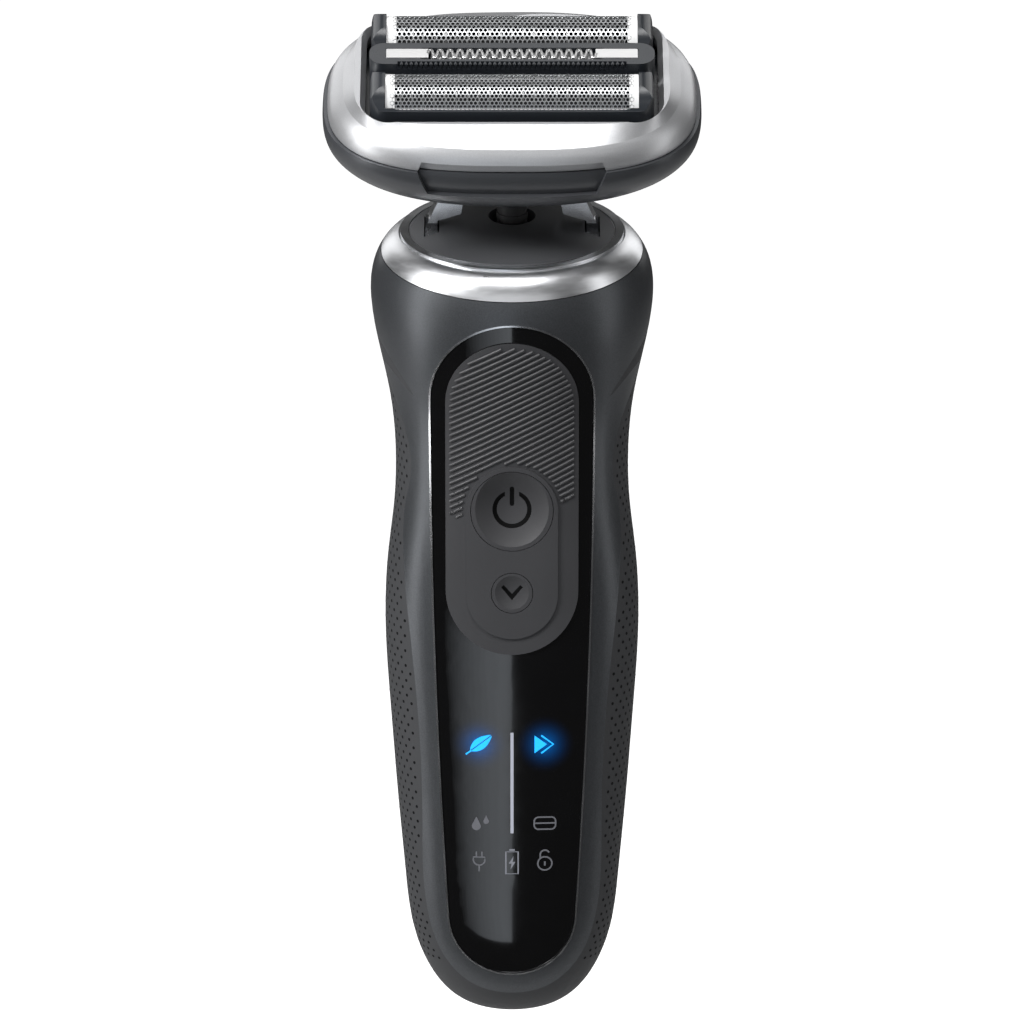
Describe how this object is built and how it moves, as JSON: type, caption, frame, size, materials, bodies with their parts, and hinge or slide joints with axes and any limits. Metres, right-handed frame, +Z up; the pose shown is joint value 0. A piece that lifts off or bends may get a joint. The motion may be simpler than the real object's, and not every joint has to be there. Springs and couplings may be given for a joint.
{
  "type": "electric foil shaver",
  "caption": "Cordless foil shaver: tapered rubber-backed grip, dished keys, a tilting and rocking neck, and a lift-off cassette of floating foils over oscillating cutters.",
  "frame": {"origin": "centre of the charging socket's mouth at the foot of the handle", "axes": "+Z up the handle towards the head, the control panel faces -Y, +X is to the right seen from the front"},
  "size_m": [0.0606, 0.0405, 0.1664],
  "materials": {
    "handle_plastic": "satin",
    "inner_plastic": "moulded",
    "grip_rubber": "soft touch",
    "collar_chrome": "satin chrome",
    "dome_metal": "satin",
    "black_gloss": "high gloss",
    "trim_metal": "satin",
    "soft_pad": "soft touch",
    "head_plastic": "satin",
    "frame_silver": "satin silver",
    "foil_steel": "perforated foil",
    "blade_steel": "ground",
    "bearing_steel": "ground",
    "boot_rubber": "matt",
    "board_green": "solder mask",
    "component_black": "moulded",
    "battery_sleeve": "shrink sleeve",
    "gold_contact": "plated",
    "copper_coil": "enamelled",
    "magnet_nickel": "nickel plated",
    "light_white": "diffusing",
    "core_steel": "laminated"
  },
  "bodies": {
    "handle": {"front_shell": "handle_plastic", "rear_shell": "inner_plastic", "rubber_grip": "grip_rubber", "collar_ring": "collar_chrome", "neck_dome": "dome_metal", "display_panel": "black_gloss", "panel_trim": "trim_metal", "control_pad": "soft_pad", "charging_socket": "component_black", "socket_pins": "gold_contact", "chassis": "inner_plastic", "circuit_board": "board_green", "battery_cell": "battery_sleeve", "battery_tabs": "magnet_nickel", "battery_cradle": "inner_plastic", "tact_switches": "component_black", "indicator_leds": "light_white", "light_guide": "light_white", "board_chips": "component_black", "charge_transformer": "component_black", "chassis_screws": "bearing_steel"},
    "power_button": {"power_button": "soft_pad", "power_mark": "black_gloss"},
    "mode_button": {"mode_button": "soft_pad", "mode_mark": "black_gloss"},
    "yoke": {"neck_yoke": "frame_silver", "tilt_pins": "bearing_steel", "rock_pins": "bearing_steel", "motor_case": "core_steel", "motor_core": "core_steel", "motor_coil": "copper_coil", "motor_flexures": "bearing_steel", "neck_boot": "boot_rubber"},
    "armature": {"magnet_carrier": "core_steel", "motor_magnets": "magnet_nickel", "drive_pin": "bearing_steel"},
    "head": {"head_base": "head_plastic", "head_plate": "head_plastic", "cassette_catches": "inner_plastic"},
    "drive_bridge": {"drive_bridge": "inner_plastic"},
    "cassette": {"cassette_frame": "frame_silver", "cassette_tray": "head_plastic", "front_foil_springs": "bearing_steel", "rear_foil_springs": "bearing_steel", "trimmer_springs": "bearing_steel"},
    "front_foil": {"front_foil_frame": "head_plastic", "front_foil": "foil_steel"},
    "rear_foil": {"rear_foil_frame": "head_plastic", "rear_foil": "foil_steel"},
    "trimmer": {"trimmer_frame": "head_plastic", "trimmer_blade": "blade_steel"},
    "front_cutter": {"front_cutter_carrier": "component_black", "front_cutter_blades": "blade_steel"},
    "rear_cutter": {"rear_cutter_carrier": "component_black", "rear_cutter_blades": "blade_steel"},
    "trimmer_cutter": {"trimmer_cutter": "blade_steel"}
  },
  "joints": [
    {"name": "head_tilt", "type": "hinge", "parent": "handle", "child": "yoke", "pos_m": [0, 0.00038, 0.12974], "axis": [1, 0, 0], "range_deg": [-12, 12], "stiffness_Nm_per_rad": 0.5},
    {"name": "head_rock", "type": "hinge", "parent": "yoke", "child": "head", "pos_m": [0, -0.00237, 0.14387], "axis": [0, 0.9816, 0.1908], "range_deg": [-6, 6], "stiffness_Nm_per_rad": 0.4},
    {"name": "armature_slide", "type": "slide", "parent": "yoke", "child": "armature", "axis": [1, 0, 0], "range_m": [-0.001, 0.001], "stiffness_N_per_m": 300},
    {"name": "bridge_slide", "type": "slide", "parent": "head", "child": "drive_bridge", "axis": [1, 0, 0], "range_m": [-0.001, 0.001]},
    {"name": "cassette_lift", "type": "slide", "parent": "head", "child": "cassette", "axis": [0, -0.4226, 0.9063], "range_m": [0, 0.014]},
    {"name": "front_foil_float", "type": "slide", "parent": "cassette", "child": "front_foil", "axis": [0, 0.4226, -0.9063], "range_m": [0, 0.0012], "stiffness_N_per_m": 200, "springref_m": -0.002, "deforming": ["front_foil_springs"]},
    {"name": "rear_foil_float", "type": "slide", "parent": "cassette", "child": "rear_foil", "axis": [0, 0.4226, -0.9063], "range_m": [0, 0.0012], "stiffness_N_per_m": 200, "springref_m": -0.002, "deforming": ["rear_foil_springs"]},
    {"name": "trimmer_float", "type": "slide", "parent": "cassette", "child": "trimmer", "axis": [0, 0.4226, -0.9063], "range_m": [0, 0.001], "stiffness_N_per_m": 200, "springref_m": -0.002, "deforming": ["trimmer_springs"]},
    {"name": "front_cutter_slide", "type": "slide", "parent": "front_foil", "child": "front_cutter", "axis": [1, 0, 0], "range_m": [-0.001, 0.001]},
    {"name": "rear_cutter_slide", "type": "slide", "parent": "rear_foil", "child": "rear_cutter", "axis": [1, 0, 0], "range_m": [-0.001, 0.001]},
    {"name": "trimmer_cutter_slide", "type": "slide", "parent": "trimmer", "child": "trimmer_cutter", "axis": [1, 0, 0], "range_m": [-0.001, 0.001]},
    {"name": "power_press", "type": "slide", "parent": "handle", "child": "power_button", "axis": [0, 1, 0], "range_m": [0, 0.0006], "stiffness_N_per_m": 60, "springref_m": -0.002},
    {"name": "mode_press", "type": "slide", "parent": "handle", "child": "mode_button", "axis": [0, 1, 0], "range_m": [0, 0.0006], "stiffness_N_per_m": 30, "springref_m": -0.002}
  ],
  "couplings": [
    {"joint": "bridge_slide", "follows": "armature_slide", "ratio": 1},
    {"joint": "front_cutter_slide", "follows": "armature_slide", "ratio": 1},
    {"joint": "rear_cutter_slide", "follows": "armature_slide", "ratio": 1},
    {"joint": "trimmer_cutter_slide", "follows": "armature_slide", "ratio": 1}
  ]
}
